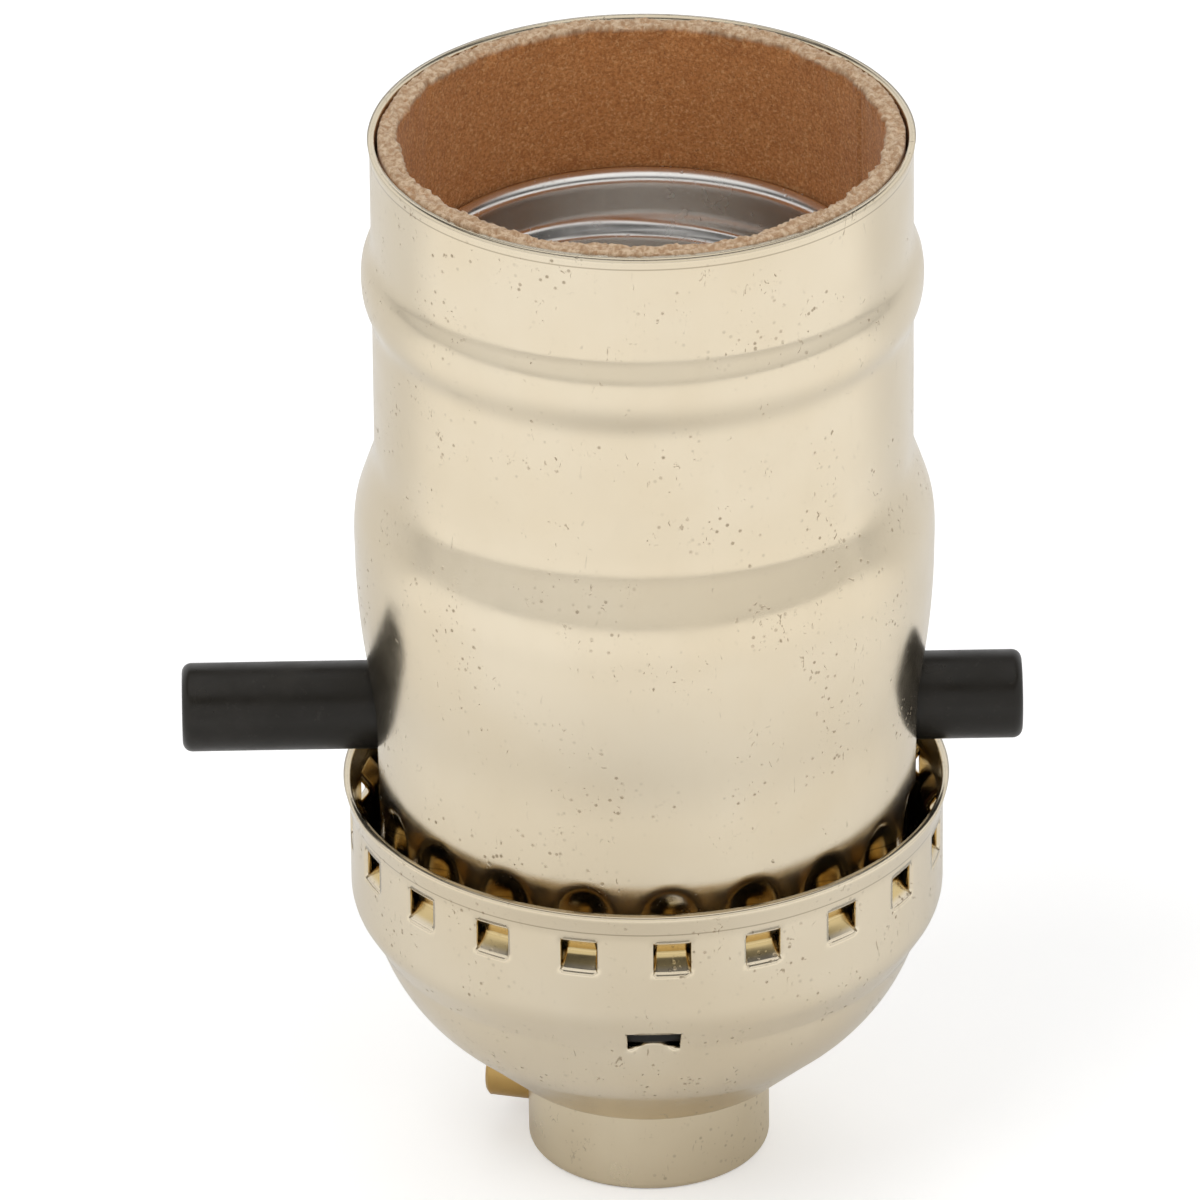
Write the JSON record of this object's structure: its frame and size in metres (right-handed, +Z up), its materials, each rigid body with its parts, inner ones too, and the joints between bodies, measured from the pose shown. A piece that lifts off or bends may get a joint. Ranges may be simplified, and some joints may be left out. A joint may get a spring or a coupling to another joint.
{
  "type": "lamp holder",
  "caption": "Push-through lamp holder for a screw-base lamp: brass shell with paper sleeve, ringed cup-shaped cap, threaded hub and a black cross bar that switches.",
  "frame": {"origin": "centre of the hub's bottom face, at the mouth of the threaded bore", "axes": "+Z up the lamp axis towards the open rim, X along the push bar, which starts pushed towards -X; -Y is the front"},
  "size_m": [0.052, 0.0376, 0.0703],
  "materials": {
    "shell_brass": "bright pale brass with fine specks",
    "hub_brass": "satin",
    "screw_brass": "dull",
    "contact_brass": "satin",
    "bright_aluminium": "bright rolled",
    "spring_steel": "satin",
    "sleeve_paper": "matte kraft paper",
    "grey_fibre": "matte vulcanised fibre",
    "brown_phenolic": "matte moulded phenolic",
    "black_phenolic": "matte black phenolic"
  },
  "bodies": {
    "root": {"hub": "hub_brass", "cap": "shell_brass", "base_plate": "brown_phenolic", "switch_body": "brown_phenolic", "assembly_rivets": "screw_brass", "screw_shell": "bright_aluminium", "center_washer": "grey_fibre", "center_contact": "contact_brass", "center_rivet": "contact_brass", "lamp_leaf": "contact_brass", "line_leaf": "contact_brass", "detent_leaf": "spring_steel", "line_terminal": "screw_brass", "neutral_terminal": "bright_aluminium"},
    "shell": {"outer_shell": "shell_brass", "insulating_sleeve": "sleeve_paper"},
    "bar": {"push_bar": "black_phenolic", "contact_collar": "contact_brass"},
    "set_screw": {"set_screw": "screw_brass"},
    "line_screw": {"line_screw": "screw_brass"},
    "neutral_screw": {"neutral_screw": "spring_steel"}
  },
  "joints": [
    {"name": "shell_lift", "type": "slide", "parent": "root", "child": "shell", "axis": [0, 0, 1], "range_m": [0, 0.045]},
    {"name": "bar_push", "type": "slide", "parent": "root", "child": "bar", "axis": [1, 0, 0], "range_m": [0, 0.0054]},
    {"name": "set_screw_travel", "type": "slide", "parent": "root", "child": "set_screw", "axis": [-0.9659, 0.2588, 0], "range_m": [-0.0006, 0.0015]},
    {"name": "line_screw_travel", "type": "slide", "parent": "root", "child": "line_screw", "axis": [0, -1, 0], "range_m": [0, 0.0012]},
    {"name": "neutral_screw_travel", "type": "slide", "parent": "root", "child": "neutral_screw", "axis": [0, 1, 0], "range_m": [0, 0.0012]}
  ]
}
